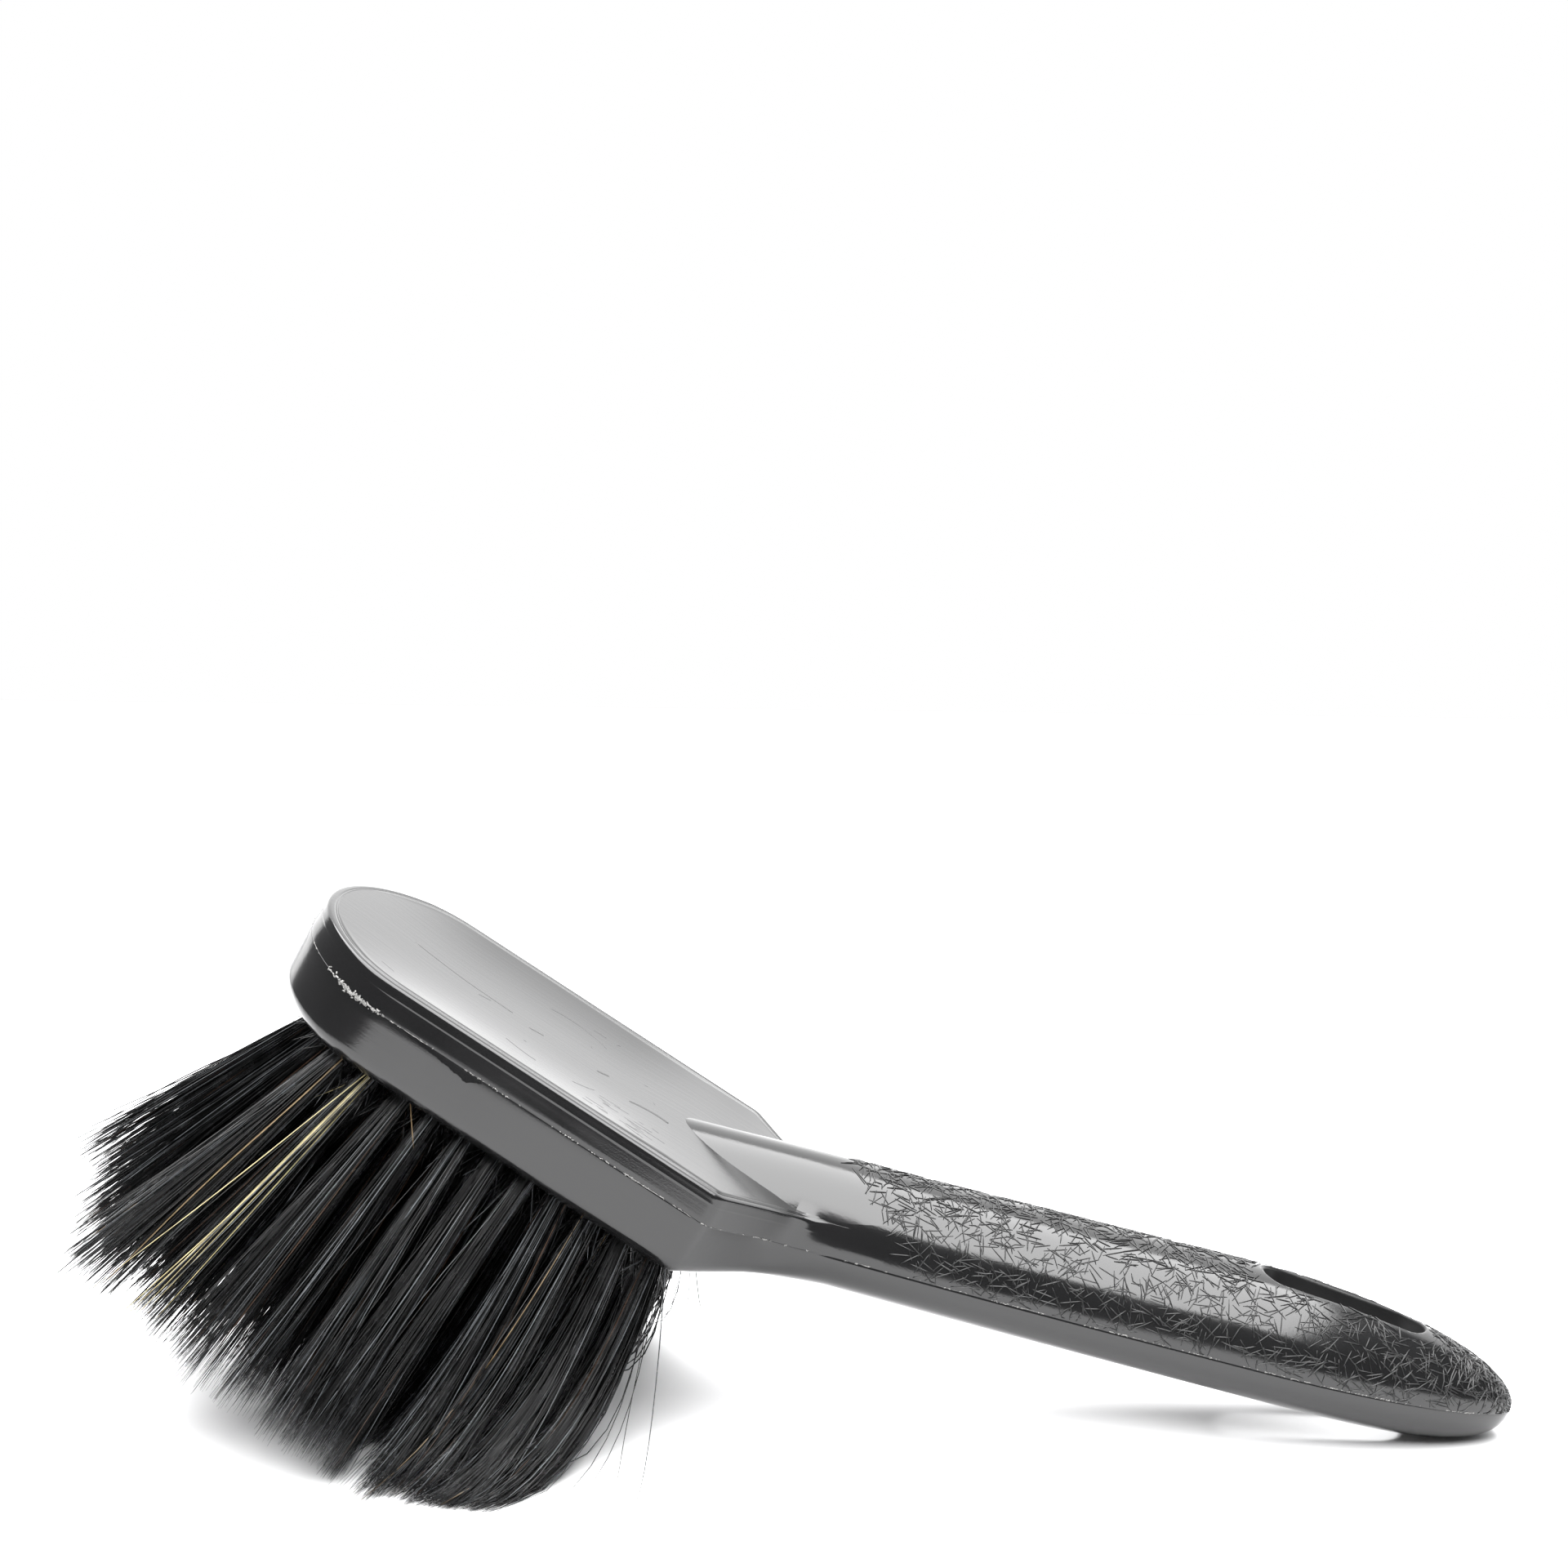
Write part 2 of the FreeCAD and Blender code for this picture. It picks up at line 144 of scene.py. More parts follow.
def dome_height(x, y):
    """Return the block-frame Z of the handle's upper surface above a block-frame X and Y."""
    c, s = math.cos(HANDLE_PITCH), math.sin(HANDLE_PITCH)
    v = np.full(np.shape(x), 8.0)
    for _ in range(DOME_PASSES):
        u = (x - ROOT_X + v * s) / c
        wide, top, _ = grip_sizes(u)
        inside = np.clip(1 - (y / np.maximum(wide, 0.01)) ** 2, 0, 1)
        v = top * np.sqrt(inside)
    z = PARTING_Z + u * s + v * c
    return np.where(np.abs(y) < wide, z, FAR_BELOW)


# ------------------------------------------------------------ outline of the moulding

def bent(before, corner, after, count=9):
    """Return a quadratic curve that rounds a corner between two points."""
    t = np.linspace(0, 1, count)[:, None]
    return (1 - t) ** 2 * before + 2 * t * (1 - t) * corner + t**2 * after


def half_outline(step):
    """Return the -Y half of the parting line as (s, y), from the nose to the handle's end."""
    turn = math.atan2(HALF_WIDTH, NOSE_X)
    lead = 0.17
    angles = np.linspace(0, turn - lead, 60)
    nose = np.stack([NOSE_X - NOSE_RADIUS * np.cos(angles), -NOSE_RADIUS * np.sin(angles)], axis=1)
    corner = np.array([0.0, -HALF_WIDTH])
    path = [nose, bent(nose[-1], corner, corner + [NOSE_RADIUS * lead, 0])[1:]]
    shoulder = np.array([STRAIGHT, -HALF_WIDTH])
    neck = np.array([SHOULDER_END, -NECK_HALF_WIDTH])
    slant = (neck - shoulder) / np.linalg.norm(neck - shoulder)
    path.append(bent(shoulder - [1.5, 0], shoulder, shoulder + 1.5 * slant))
    meet_u = -0.3
    meet = np.array([ROOT_X + meet_u, -grip_sizes(meet_u)[0]])
    past = np.array([ROOT_X + 6.0, -grip_sizes(6.0)[0]])
    path.append(bent(meet - 6.5 * slant, meet, past))
    turns = np.linspace(0, math.pi / 2, 90)
    rounded = END_START + (HANDLE_LENGTH - END_START) * np.sin(turns)[1:]
    u = np.concatenate([np.linspace(7, END_START, 60), rounded])
    path.append(np.stack([ROOT_X + u, -grip_sizes(u)[0]], axis=1))
    path = np.concatenate(path)
    length = np.concatenate([[0], np.cumsum(np.linalg.norm(np.diff(path, axis=0), axis=1))])
    count = int(length[-1] / step)
    at = np.linspace(0, length[-1], count + 1)
    return np.stack([np.interp(at, length, path[:, 0]), np.interp(at, length, path[:, 1])], axis=1)


def inward_fractions(outline, spine, distances):
    """Return how far along each spoke each distance from the outline lies, as a fraction."""
    shares = np.linspace(0, 1, 120) ** 1.5
    spots = outline[:, None] + (spine - outline)[:, None] * shares[None, :, None]
    starts, ends = outline[:-1], outline[1:]
    best = np.full(spots.shape[:2], 1e9)
    for start, end in zip(starts, ends):
        run = end - start
        t = np.clip(((spots - start) @ run) / (run @ run), 0, 1)
        gap = np.linalg.norm(spots - start - t[..., None] * run, axis=-1)
        best = np.minimum(best, gap)
    best = np.maximum.accumulate(best, axis=1)
    best += np.arange(best.shape[1]) * 1e-7
    return np.array([np.interp(distances, row, shares) for row in best])


# Rings over the block, as distance in from the outline and height. The upper ones climb from the
# parting line over the lip, the wall and the grooved rim. The lower ones go down the wall and round
# its edge to the underside.
UPPER_RINGS = (
    (0.2, PARTING_Z), (0.02, -5.9), (0.0, -5.75), (0.08, -4.7), (0.17, -3.4), (0.25, -2.2),
    (0.27, -1.95), (0.22, -1.8), (0.26, -1.6), (0.33, -0.7), (0.36, -0.35), (0.43, -0.08),
    (0.58, 0.1), (0.8, 0.22), (1.1, 0.29), (1.5, 0.33), (1.85, 0.35), (1.93, 0.27),
    (2.01, 0.27), (2.09, 0.36), (2.3, 0.37), (2.38, 0.3), (2.46, 0.3), (2.54, 0.38),
)
LIP_RING = 1
LOWER_RINGS = (
    (0.12, -6.1), (0.1, -6.25), (0.2, -8.2), (0.33, -10.8), (0.44, -13.0), (0.55, -15.1),
    (0.6, -15.8), (0.76, -16.5), (1.11, -17.2), (1.45, -17.7), (1.9, -18.17), (2.65, -18.74),
    (3.5, -19.11), (4.2, -19.25), (4.8, BOTTOM_Z),
)
FACE_RINGS = 14
DOME_RINGS = 18
UNDERSIDE_RINGS = 16
CREASE_RING = len(UPPER_RINGS) + FACE_RINGS - 1
DOME_STEPS = np.sin(np.linspace(0, math.pi / 2, DOME_RINGS + 1))[1:]
STATION_STEP = 0.62  # distance between stations along the outline
DISH_DEPTH = 1.7
CREASE_SPAN = (60, 94)  # X range in which the crease is kept sharp

# The block's section turns into the handle's between these X values, for the top and the bottom.
TOP_BLEND = (91, 103)
LOW_BLEND = (75, 106)
SOFTEN_PASSES = 45
NECK_WALL = 6.3  # height of the wall's last ring above the parting plane at the neck

# The lip along the parting line, on the handle's rings below a small angle.
LIP_ANGLE = 0.02
UPPER_LIP, LOWER_LIP = 0.12, 0.06

# Past this U the spine's points fall behind the outline's, so that the rings close on the tip.
SPINE_TURN = 100
SPINE_SHARE = 0.72

SLOT_ROUNDING = 0.7
SLOT_DRAFT = 0.25

# In metres: the welding distance, and how near the crease a vertex has to be to lie on it.
WELD = 1e-7
ON_CREASE = 2e-6


def face_dish(x, y):
    """Return how far the top face sinks below its rim, in mm."""
    across = np.clip(np.abs(y) / (HALF_WIDTH - 2.5), 0, 1)
    along = smooth(-17, 16, x) * (1 - 0.65 * smooth(46, 68, x) - 0.35 * smooth(72, 92, x))
    return DISH_DEPTH * (1 - across**2.5) * along


def dome_shows(x, y):
    """Return where the handle's dome stands above the dished top face."""
    return dome_height(x, y) > RIM_Z - face_dish(x, y)


def crease_y(x):
    """Return the half width of the handle's dome where it comes out of the top face, at each X."""
    spine = np.linspace(55, 80, 500)
    apex = spine[np.argmax(dome_shows(spine, 0 * spine))]
    tries = np.linspace(0, GRIP_HALF_WIDTH, 400)
    found = np.where(dome_shows(*np.meshgrid(x, tries, indexing="ij")), tries, 0).max(axis=1)
    before = np.clip((apex - x) * 0.33, 0, 12)
    return np.maximum(np.where(x > apex, found, before), 0.03)


def inward(outline, spine, shares):
    """Return plan points that lie given shares of the way from the outline to the spine."""
    return outline[:, None] + (spine - outline)[:, None] * shares[..., None]


def upper_block(outline, spine):
    """Return the block's top half: wall, rim, face up to the crease, and the dome inside it."""
    s, y_out = outline[:, 0], outline[:, 1]
    ring_d, ring_z = np.array(UPPER_RINGS).T
    wall_t = inward_fractions(outline, spine, ring_d)
    rim_t = wall_t[:, -1:]
    crease_t = 1 - crease_y(np.minimum(s, SHOULDER_END)) / np.maximum(np.abs(y_out), 0.01)
    crease_t = np.clip(crease_t[:, None], rim_t + 0.004, 0.9995)
    face_t = rim_t + (crease_t - rim_t) * np.linspace(0, 1, FACE_RINGS + 1)[1:]
    dome_t = crease_t + (1 - crease_t) * DOME_STEPS
    plan = inward(outline, spine, np.concatenate([wall_t, face_t, dome_t], axis=1))
    ring_z = np.concatenate([ring_z, np.full(FACE_RINGS + DOME_RINGS, RIM_Z)])
    z = np.repeat(ring_z[None], len(s), 0)
    face = plan[:, len(UPPER_RINGS):]
    z[:, len(UPPER_RINGS):] -= face_dish(face[..., 0], face[..., 1])
    dome = dome_height(plan[..., 0], plan[..., 1])
    on_block = s[:, None] < SHOULDER_END + 12
    z = np.where(on_block & (dome > z), dome, z)
    return np.concatenate([plan, z[..., None]], axis=2)


def lower_block(outline, spine):
    """Return the block's bottom half: wall, rounded edge and underside."""
    ring_d, ring_z = np.array(LOWER_RINGS).T
    wall_t = inward_fractions(outline, spine, ring_d)
    under_steps = np.linspace(0, 1, UNDERSIDE_RINGS + 1)[1:]
    under_t = wall_t[:, -1:] + (1 - wall_t[:, -1:]) * under_steps
    plan = inward(outline, spine, np.concatenate([wall_t, under_t], axis=1))
    ring_z = np.concatenate([ring_z, np.full(UNDERSIDE_RINGS, BOTTOM_Z)])
    z = np.repeat(ring_z[None], len(outline), 0)
    return np.concatenate([plan, z[..., None]], axis=2)


def upper_angles(u):
    """Return the angles of the upper rings around the handle, at each u.

    At the neck the wall's rings keep the heights they have on the block. Further on all the rings
    spread evenly from the parting line to the spine.
    """
    wall_v = np.clip(np.array(UPPER_RINGS)[:, 1] - PARTING_Z, 0, NECK_WALL)
    wall_angle = np.arcsin(np.clip(wall_v / GRIP_TOP, 0, 1))
    face_angle = wall_angle[-1] + np.linspace(0, 0.02, FACE_RINGS + 1)[1:]
    dome_angle = np.arccos(np.cos(face_angle[-1]) * (1 - DOME_STEPS))
    neck_angles = np.concatenate([wall_angle, face_angle, dome_angle])
    even_angles = np.linspace(0, math.pi / 2, len(neck_angles))
    even_angles[1:3] = 0.012, 0.03
    spread = smooth(4, 45, u)[:, None]
    return neck_angles * (1 - spread) + even_angles * spread


def lower_angles(u):
    """Return the angles of the lower rings around the handle, the same at each u."""
    even_angles = np.linspace(0, math.pi / 2, len(LOWER_RINGS) + UNDERSIDE_RINGS + 1)[1:]
    even_angles[:2] = 0.012, 0.04
    return np.repeat(even_angles[None], len(u), 0)


def moulding_grid(outline):
    """Return the top and the bottom of the moulding's -Y half, as points by station and ring."""
    s = outline[:, 0]
    u = s - ROOT_X
    spine = np.stack([np.maximum(s, NOSE_X), np.zeros_like(s)], axis=1)
    blend_top = smooth(*TOP_BLEND, s)[:, None, None]
    blend_low = smooth(*LOW_BLEND, s)[:, None, None]
    upper_handle = handle_points(u, upper_angles(u), True)
    lower_handle = handle_points(u, lower_angles(u), False)
    upper = upper_block(outline, spine) * (1 - blend_top) + upper_handle * blend_top
    lower = lower_block(outline, spine) * (1 - blend_low) + lower_handle * blend_low
    soften = (0.25 * smooth(89, 93, s) * (1 - smooth(103, 110, s)))[1:-1, None, None]
    for _ in range(SOFTEN_PASSES):
        upper[1:-1] += soften * (upper[:-2] - 2 * upper[1:-1] + upper[2:])
    return upper, lower


def handle_points(u, angles, is_top):
    """Return handle surface points: angle 0 on the parting line, a right angle on the spine."""
    wide = grip_sizes(u)[0]
    spine_u = np.where(u > SPINE_TURN, SPINE_TURN + (u - SPINE_TURN) * SPINE_SHARE, u)
    share = np.cos(angles)
    along = spine_u[:, None] + (u - spine_u)[:, None] * share
    y = -wide[:, None] * share
    local_wide, top, bottom = grip_sizes(along)
    inside = np.sqrt(np.clip(1 - (y / np.maximum(local_wide, 1e-6)) ** 2, 0, 1))
    v = top * inside if is_top else -bottom * inside
    lip = np.where(angles < LIP_ANGLE, UPPER_LIP if is_top else LOWER_LIP, 0.0)
    y = y + lip * share * np.minimum(wide / 2, 1)[:, None]
    return from_handle(along, y, v)


def mesh_object(name, points, faces, material, in_row=False):
    """Make a mesh object from points, in the block's frame unless already in metres in the row."""
    mesh = bpy.data.meshes.new(name)
    points = points if in_row else to_row(points)
    mesh.from_pydata(points.reshape(-1, 3).tolist(), [], faces)
    mesh.update()
    mesh.materials.append(material)
    obj = bpy.data.objects.new(name, mesh)
    bpy.context.scene.collection.objects.link(obj)
    return obj


def grid_faces(rows, columns, first, flip):
    """Return the quads of a grid of vertices that starts at one index."""
    faces = []
    for i in range(rows - 1):
        for k in range(columns - 1):
            a = first + i * columns + k
            quad = (a, a + 1, a + columns + 1, a + columns)
            faces.append(quad[::-1] if flip else quad)
    return faces


def tube_faces(levels, width):
    """Return the faces of a closed tube: levels of width vertices each, with a cap at each end."""
    faces = []
    for i in range(levels - 1):
        for k in range(width):
            n = (k + 1) % width
            faces.append((i * width + k, i * width + n, (i + 1) * width + n, (i + 1) * width + k))
    faces.append(tuple(range(width))[::-1])
    faces.append(tuple((levels - 1) * width + k for k in range(width)))
    return faces


def build_moulding(material):
    """Make the block and handle as one closed mesh; return it with its lip and its crease."""
    upper, lower = moulding_grid(half_outline(STATION_STEP))
    lower = np.concatenate([upper[:, :1], lower], axis=1)
    points, faces, first = [], [], 0
    for grid, is_top in ((upper, True), (lower, False)):
        for side in (1, -1):
            half = grid * [1, side, 1]
            points.append(half.reshape(-1, 3))
            faces += grid_faces(*grid.shape[:2], first, is_top == (side > 0))
            first += half.shape[0] * half.shape[1]
    body = mesh_object("moulding_body", np.concatenate(points), faces, material)
    bm = bmesh.new()
    bm.from_mesh(body.data)
    bmesh.ops.remove_doubles(bm, verts=bm.verts, dist=WELD)
    bmesh.ops.dissolve_degenerate(bm, edges=bm.edges, dist=WELD)
    bmesh.ops.recalc_face_normals(bm, faces=bm.faces)
    bm.to_mesh(body.data)
    bm.free()
    crease = upper[:, CREASE_RING]
    crease = crease[(crease[:, 0] > CREASE_SPAN[0]) & (crease[:, 0] < CREASE_SPAN[1])]
    return body, upper[:, LIP_RING], crease


def sharpen(body, crease):
    """Shade a body smooth, but keep the edges that run along the crease sharp."""
    body.data.shade_smooth()
    both = to_row(np.concatenate([crease, crease * [1, -1, 1]]))
    tree = KDTree(len(both))
    for index, point in enumerate(both):
        tree.insert(point, index)
    tree.balance()
    near = [tree.find(vertex.co)[2] < ON_CREASE for vertex in body.data.vertices]
    for edge in body.data.edges:
        edge.use_edge_sharp = all(near[index] for index in edge.vertices)


def slot_cutter(material):
    """Make the tool that cuts the hang slot, narrowest on the parting plane."""
    turns = np.linspace(-math.pi / 2, math.pi / 2, 25)
    outward = np.stack([np.cos(turns), np.sin(turns)], axis=1)
    end = outward * SLOT_WIDTH / 2 + [(SLOT_LENGTH - SLOT_WIDTH) / 2, 0]
    loop = np.concatenate([end, -end])
    normal = np.concatenate([outward, -outward])
    wide, top, bottom = grip_sizes(SLOT_MIDDLE + loop[:, 0])
    inside = np.sqrt(1 - (loop[:, 1] / wide) ** 2)
    halves = []
    for sign, edge in ((-1, -bottom * inside), (1, top * inside)):
        half = []
        for turn in np.linspace(0, math.radians(75), 6):
            out = SLOT_ROUNDING * (1 - math.cos(turn))
            rise = SLOT_ROUNDING * (math.sin(turn) - 1)
            half.append((out + SLOT_DRAFT, edge + sign * rise))
        half.append((SLOT_DRAFT + SLOT_ROUNDING * 1.6, edge + sign * 2.0))
        halves.append(half)
    ridge = [(0.0, -0.04), (-0.06, 0.0), (0.0, 0.04)]
    layers = []
    for out, level in halves[0][::-1] + ridge + halves[1]:
        spot = loop + normal * out
        layers.append(from_handle(SLOT_MIDDLE + spot[:, 0], spot[:, 1], level))
    faces = tube_faces(len(layers), len(loop))
    tool = mesh_object("slot_cutter", np.concatenate(layers), faces, material)
    bm = bmesh.new()
    bm.from_mesh(tool.data)
    bmesh.ops.recalc_face_normals(bm, faces=bm.faces)
    bm.to_mesh(tool.data)
    bm.free()
    return tool


def cut(body, tool):
    """Cut a tool out of a body and delete the tool."""
    modifier = body.modifiers.new("cut", "BOOLEAN")
    modifier.operation = "DIFFERENCE"
    modifier.object = tool
    modifier.solver = "EXACT"
    modifier.material_mode = "TRANSFER"
    graph = bpy.context.evaluated_depsgraph_get()
    mesh = bpy.data.meshes.new_from_object(body.evaluated_get(graph))
    body.modifiers.clear()
    old, body.data = body.data, mesh
    bpy.data.meshes.remove(old)
    bpy.data.objects.remove(tool, do_unlink=True)


# ------------------------------------------------------------ materials

def new_material(name):
    """Make a node material and return it with its tree and its shader."""
    material = bpy.data.materials.new(name)
    material.use_nodes = True
    tree = material.node_tree
    return material, tree, tree.nodes["Principled BSDF"]


def add_node(tree, kind, links=None, **settings):
    """Add a node, set its values by attribute or input name, and link its inputs."""
    node = tree.nodes.new(kind)
    for key, value in settings.items():
        if hasattr(node, key):
            setattr(node, key, value)
        else:
            node.inputs[key.replace("_", " ")].default_value = value
    for key, source in (links or {}).items():
        tree.links.new(source, node.inputs[key])
    return node


def block_coordinates(tree):
    """Return coordinates along the block's own axes, so that streaks follow its length."""
    place = add_node(tree, "ShaderNodeTexCoord")
    turn = add_node(tree, "ShaderNodeMapping", {"Vector": place.outputs["Object"]})
    turn.inputs["Rotation"].default_value = (0, -REST_PITCH, 0)
    return turn.outputs["Vector"]


def stretched(tree, vector, scale):
    """Scale coordinates unevenly, to draw a noise out along one axis."""
    node = add_node(tree, "ShaderNodeMapping", {"Vector": vector})
    node.inputs["Scale"].default_value = scale
    return node.outputs["Vector"]


def moulded_plastic(name, base, rough_low, rough_high):
    """Make the glossy black plastic: faint flow streaks, fine grain and uneven gloss."""
    material, tree, shader = new_material(name)
    vector = block_coordinates(tree)
    streaks = add_node(
        tree, "ShaderNodeTexNoise", {"Vector": stretched(tree, vector, (40, 900, 900))},
        Scale=1.0, Detail=4.0, Roughness=0.6,
    )
    clouds = add_node(tree, "ShaderNodeTexNoise", {"Vector": vector}, Scale=55.0, Detail=5.0)
    grain = add_node(tree, "ShaderNodeTexNoise", {"Vector": vector}, Scale=2600.0, Detail=2.0)
    gloss = add_node(
        tree, "ShaderNodeMapRange", {"Value": clouds.outputs["Fac"]},
        From_Min=0.3, From_Max=0.7, To_Min=rough_low, To_Max=rough_high,
    )
    tree.links.new(gloss.outputs["Result"], shader.inputs["Roughness"])
    tint = add_node(tree, "ShaderNodeMix", {"Factor": clouds.outputs["Fac"]}, data_type="RGBA")
    for socket in tint.inputs:
        if socket.type == "RGBA" and socket.name == "A":
            socket.default_value = (*[0.8 * c for c in base], 1)
        if socket.type == "RGBA" and socket.name == "B":
            socket.default_value = (*[1.3 * c for c in base], 1)
    colour = next(socket for socket in tint.outputs if socket.type == "RGBA")
    tree.links.new(colour, shader.inputs["Base Color"])
    fine = add_node(
        tree, "ShaderNodeBump", {"Height": grain.outputs["Fac"]}, Strength=0.03, Distance=0.0002
    )
    both = {"Height": streaks.outputs["Fac"], "Normal": fine.outputs["Normal"]}
    long = add_node(tree, "ShaderNodeBump", both, Strength=0.06, Distance=0.0003)
    tree.links.new(long.outputs["Normal"], shader.inputs["Normal"])
    shader.inputs["IOR"].default_value = 1.5
    return material


def bristle_material():
    """Make the hair: each fibre's tone from its attribute, with painted highlight on the grey
    fibres, darker in bands, with a soft sheen along it.
    """
    material, tree, shader = new_material("dyed_hair")
    tone = add_node(tree, "ShaderNodeAttribute", attribute_name="tone")
    place = add_node(tree, "ShaderNodeTexCoord")
    bands = add_node(
        tree, "ShaderNodeTexNoise", {"Vector": place.outputs["Object"]}, Scale=260.0, Detail=3.0
    )
    shade = add_node(
        tree, "ShaderNodeMapRange", {"Value": bands.outputs["Fac"]},
        From_Min=0.3, From_Max=0.7, To_Min=0.65, To_Max=1.25,
    )
    mix = add_node(
        tree, "ShaderNodeVectorMath", {0: tone.outputs["Color"], "Scale": shade.outputs["Result"]},
        operation="SCALE",
    )
    tree.links.new(mix.outputs["Vector"], shader.inputs["Base Color"])
    gloss = add_node(
        tree, "ShaderNodeMapRange", {"Value": bands.outputs["Fac"]},
        From_Min=0.3, From_Max=0.7, To_Min=0.14, To_Max=0.32,
    )
    tree.links.new(gloss.outputs["Result"], shader.inputs["Roughness"])
    shader.inputs["IOR"].default_value = 1.37
    return material


def flash_material():
    """Make the thin torn plastic along the mould's parting line, paler than the rest."""
    material, tree, shader = new_material("mould_flash")
    noise = add_node(tree, "ShaderNodeTexNoise", Scale=1500.0, Detail=3.0)
    ramp = add_node(tree, "ShaderNodeValToRGB", {"Fac": noise.outputs["Fac"]})
    dark, pale = ramp.color_ramp.elements
    dark.color, dark.position = (0.05, 0.05, 0.05, 1), 0.46
    pale.color, pale.position = (0.55, 0.54, 0.52, 1), 0.64
    tree.links.new(ramp.outputs["Color"], shader.inputs["Base Color"])
    shader.inputs["Roughness"].default_value = 0.45
    return material


def steel_material():
    """Make the anchors' bright drawn steel."""
    material, tree, shader = new_material("drawn_steel")
    noise = add_node(tree, "ShaderNodeTexNoise", Scale=900.0, Detail=4.0)
    gloss = add_node(
        tree, "ShaderNodeMapRange", {"Value": noise.outputs["Fac"]}, To_Min=0.2, To_Max=0.45
    )
    tree.links.new(gloss.outputs["Result"], shader.inputs["Roughness"])
    shader.inputs["Base Color"].default_value = (0.5, 0.49, 0.47, 1)
    shader.inputs["Metallic"].default_value = 1.0
    return material


# ------------------------------------------------------------ grip texture

STROKE_TRIES = 3300
BENT_SHARE = 0.06
SIDE_MARGIN = 0.03  # angle kept free above the parting line
# A strip's section, as distance to the side and height, both as shares of its own sizes.
STRIP_SECTION = ((-1.0, -0.9), (-0.85, 0.35), (-0.3, 1.0), (0.3, 1.0), (0.85, 0.35), (1.0, -0.9))


def upper_surface(u, across):
    """Return points and normals on the handle's upper half at u and a turn across it, 0 to pi."""
    def spot(u, turn):
        wide, top, _ = grip_sizes(u)
        return np.stack([u, -wide * np.cos(turn), top * np.sin(turn)], axis=-1)

    here = spot(u, across)
    small = 1e-3
    along = spot(u + small, across) - here
    round_it = spot(u, across + small) - here
    normal = np.cross(along, round_it)
    normal /= np.maximum(np.linalg.norm(normal, axis=-1, keepdims=True), 1e-12)
    return here, normal


def texture_start(across):
    """Return the u where the texture starts, nearer the block on top than at the sides."""
    return 22.0 - 15.0 * np.sin(across) ** 2


def near_slot(u, y, margin):
    """Return where points on the handle lie over the hang slot or within a margin of it."""
    along = np.abs(u - SLOT_MIDDLE) < SLOT_LENGTH / 2 + margin
    return along & (np.abs(y) < SLOT_WIDTH / 2 + margin)


def strip_mesh(name, spots, normals, half, rise, material):
    """Make one mesh of closed raised strips that follow rows of spots in the block's frame."""
    count, steps = spots.shape[:2]
    side = unit(np.cross(normals, unit(np.gradient(spots, axis=1))))
    taper = np.ones(steps)
    taper[[0, -1]] = 0.5
    half, rise = half.reshape(-1, 1, 1), rise.reshape(-1, 1, 1)
    taper = taper[None, :, None]
    rings = [
        spots + side * half * taper * across + normals * rise * (up if up < 0 else up * taper)
        for across, up in STRIP_SECTION
    ]
    template = tube_faces(steps, len(rings))
    faces = []
    for strip in range(count):
        base = strip * steps * len(rings)
        faces += [tuple(base + v for v in face) for face in template]
    obj = mesh_object(name, np.stack(rings, axis=2), faces, material)
    obj.data.shade_smooth()
    return obj


def build_grip_texture(material):
    """Make the raised random strokes that cover the top of the handle."""
    u0 = rng.uniform(4, HANDLE_LENGTH - 0.6, STROKE_TRIES)
    turn0 = rng.uniform(0.06, math.pi - 0.06, STROKE_TRIES)
    starts = texture_start(turn0) + rng.uniform(0, 1.5, STROKE_TRIES)
    keep = (u0 > starts) & ~near_slot(u0, grip_sizes(u0)[0] * np.cos(turn0), 1.0)
    u0, turn0 = u0[keep], turn0[keep]
    count = len(u0)
    heading = rng.uniform(0, math.pi, count)
    length = rng.uniform(2.2, 5.2, count)
    bend = np.where(rng.random(count) < BENT_SHARE, rng.uniform(-1.4, 1.4, count), 0.0)
    t = np.linspace(-0.5, 0.5, 5)
    wide0, top0, _ = grip_sizes(u0)
    speed = np.sqrt((wide0 * np.sin(turn0)) ** 2 + (top0 * np.cos(turn0)) ** 2)
    speed = np.maximum(speed, 2.0)
    facing = heading[:, None] + bend[:, None] * (t > 0)
    u = u0[:, None] + length[:, None] * t * np.cos(facing)
    turn = turn0[:, None] + length[:, None] * t * np.sin(facing) / speed[:, None]
    u = np.clip(u, 3, HANDLE_LENGTH - 0.25)
    turn = np.clip(turn, SIDE_MARGIN, math.pi - SIDE_MARGIN)
    spots, normals = upper_surface(u, turn)
    clear = ~near_slot(u, spots[..., 1], 0.4).any(axis=1)
    spots, normals = spots[clear], normals[clear]
    c, s = math.cos(HANDLE_PITCH), math.sin(HANDLE_PITCH)
    turned = np.array([[c, 0, s], [0, 1, 0], [-s, 0, c]])
    placed = from_handle(spots[..., 0], spots[..., 1], spots[..., 2])
    half = rng.uniform(0.1, 0.15, len(spots))
    rise = rng.uniform(0.16, 0.25, len(spots))
    return strip_mesh("grip_texture", placed, normals @ turned, half, rise, material)


# ------------------------------------------------------------ flash and marks

FLASH_PATCHES = 34
PATCH_BEADS = 420
NOSE_BEADS = 110
NOSE_CLUMP = 37  # distance of the large clump from the nose, along the lip
CLUMP_SCALE = 1.7
LONE_BEADS = 150
THREADS = 26


